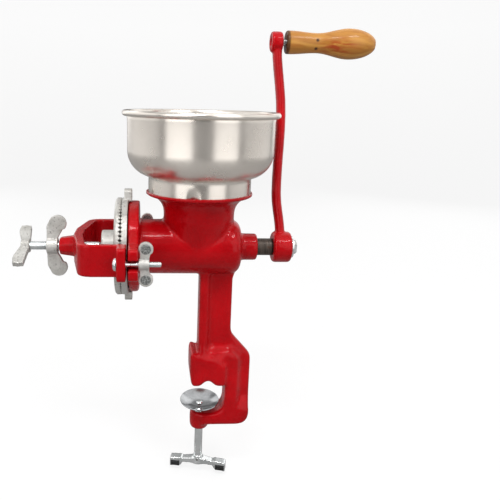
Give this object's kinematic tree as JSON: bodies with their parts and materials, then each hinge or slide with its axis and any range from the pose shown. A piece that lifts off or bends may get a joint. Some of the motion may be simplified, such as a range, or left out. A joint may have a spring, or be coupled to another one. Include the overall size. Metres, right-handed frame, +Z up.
{
  "type": "hand grain mill",
  "caption": "Hand-cranked grain mill on a table clamp: cast body with auger barrel, grinding discs, wing-screw adjuster, round metal hopper and crank with a wooden grip.",
  "frame": {"origin": "on the flat foot of the upper clamp jaw, under the hopper axis, where the mill rests on a table top", "axes": "+X along the shaft towards the crank, +Z up along the hopper axis, +Y away from the pictured front"},
  "size_m": [0.3319, 0.1408, 0.436],
  "materials": {
    "red_enamel": "glossy red enamel on rough cast iron",
    "cast_grey": "light grey tinned casting, pebbled",
    "bare_iron": "bare dark iron",
    "zinc_plate": "bright zinc plating",
    "bright_steel": "ground steel",
    "spun_aluminium": "satin spun sheet",
    "varnished_pine": "varnished pine with knots"
  },
  "bodies": {
    "frame": {"mill_body": "red_enamel", "stationary_disc": "cast_grey", "bridge": "red_enamel", "bridge_bolt_front": "zinc_plate", "bridge_bolt_rear": "zinc_plate"},
    "thrust": {"thrust_ball": "bright_steel"},
    "adjuster": {"adjusting_screw": "zinc_plate", "adjusting_wing": "cast_grey", "adjusting_wing_pin": "bright_steel"},
    "lock_nut": {"lock_wing_nut": "cast_grey"},
    "rotor": {"auger_shaft": "bare_iron", "drive_pin": "bright_steel", "rotating_disc": "cast_grey", "crank_arm": "red_enamel", "crank_bolt": "zinc_plate", "crank_washer": "zinc_plate", "handle_pin": "bright_steel"},
    "grip": {"handle_grip": "varnished_pine"},
    "front_nut": {"wing_nut_front": "cast_grey"},
    "rear_nut": {"wing_nut_rear": "cast_grey"},
    "hopper_bowl": {"hopper": "spun_aluminium"},
    "plate": {"clamp_plate": "zinc_plate"},
    "clamp": {"clamp_screw": "zinc_plate", "clamp_wing": "zinc_plate", "clamp_wing_pin": "bright_steel"}
  },
  "joints": [
    {"name": "disc_gap", "type": "slide", "parent": "frame", "child": "thrust", "axis": [1, 0, 0], "range_m": [-0.00187, 0]},
    {"name": "adjust_turn", "type": "hinge", "parent": "thrust", "child": "adjuster", "pos_m": [-0.14, 0, 0.137], "axis": [1, 0, 0], "range_deg": [-540.01, 0.01]},
    {"name": "lock_turn", "type": "hinge", "parent": "adjuster", "child": "lock_nut", "pos_m": [-0.1346, 0, 0.137], "axis": [1, 0, 0], "range_deg": [-360, 360]},
    {"name": "crank_turn", "type": "hinge", "parent": "thrust", "child": "rotor", "pos_m": [0, 0, 0.137], "axis": [1, 0, 0], "continuous": true},
    {"name": "grip_spin", "type": "hinge", "parent": "rotor", "child": "grip", "pos_m": [0.079, 0.03461, 0.32372], "axis": [1, 0, 0], "continuous": true},
    {"name": "front_nut_turn", "type": "hinge", "parent": "frame", "child": "front_nut", "pos_m": [-0.0497, -0.0619, 0.137], "axis": [1, 0, 0], "range_deg": [-360, 360]},
    {"name": "rear_nut_turn", "type": "hinge", "parent": "frame", "child": "rear_nut", "pos_m": [-0.0497, 0.0619, 0.137], "axis": [1, 0, 0], "range_deg": [-360, 360]},
    {"name": "hopper_lift", "type": "slide", "parent": "frame", "child": "hopper_bowl", "axis": [0, 0, 1], "range_m": [0, 0.05]},
    {"name": "clamp_travel", "type": "slide", "parent": "frame", "child": "plate", "axis": [0, 0, 1], "range_m": [-0.005, 0.01875]},
    {"name": "clamp_turn", "type": "hinge", "parent": "plate", "child": "clamp", "pos_m": [0.0055, 0, -0.06], "axis": [0, 0, 1], "range_deg": [-1440.01, 5400.01]}
  ],
  "couplings": [
    {"joint": "adjust_turn", "follows": "disc_gap", "rad_per_m": 5026.5},
    {"joint": "clamp_turn", "follows": "clamp_travel", "rad_per_m": 5026.5}
  ]
}
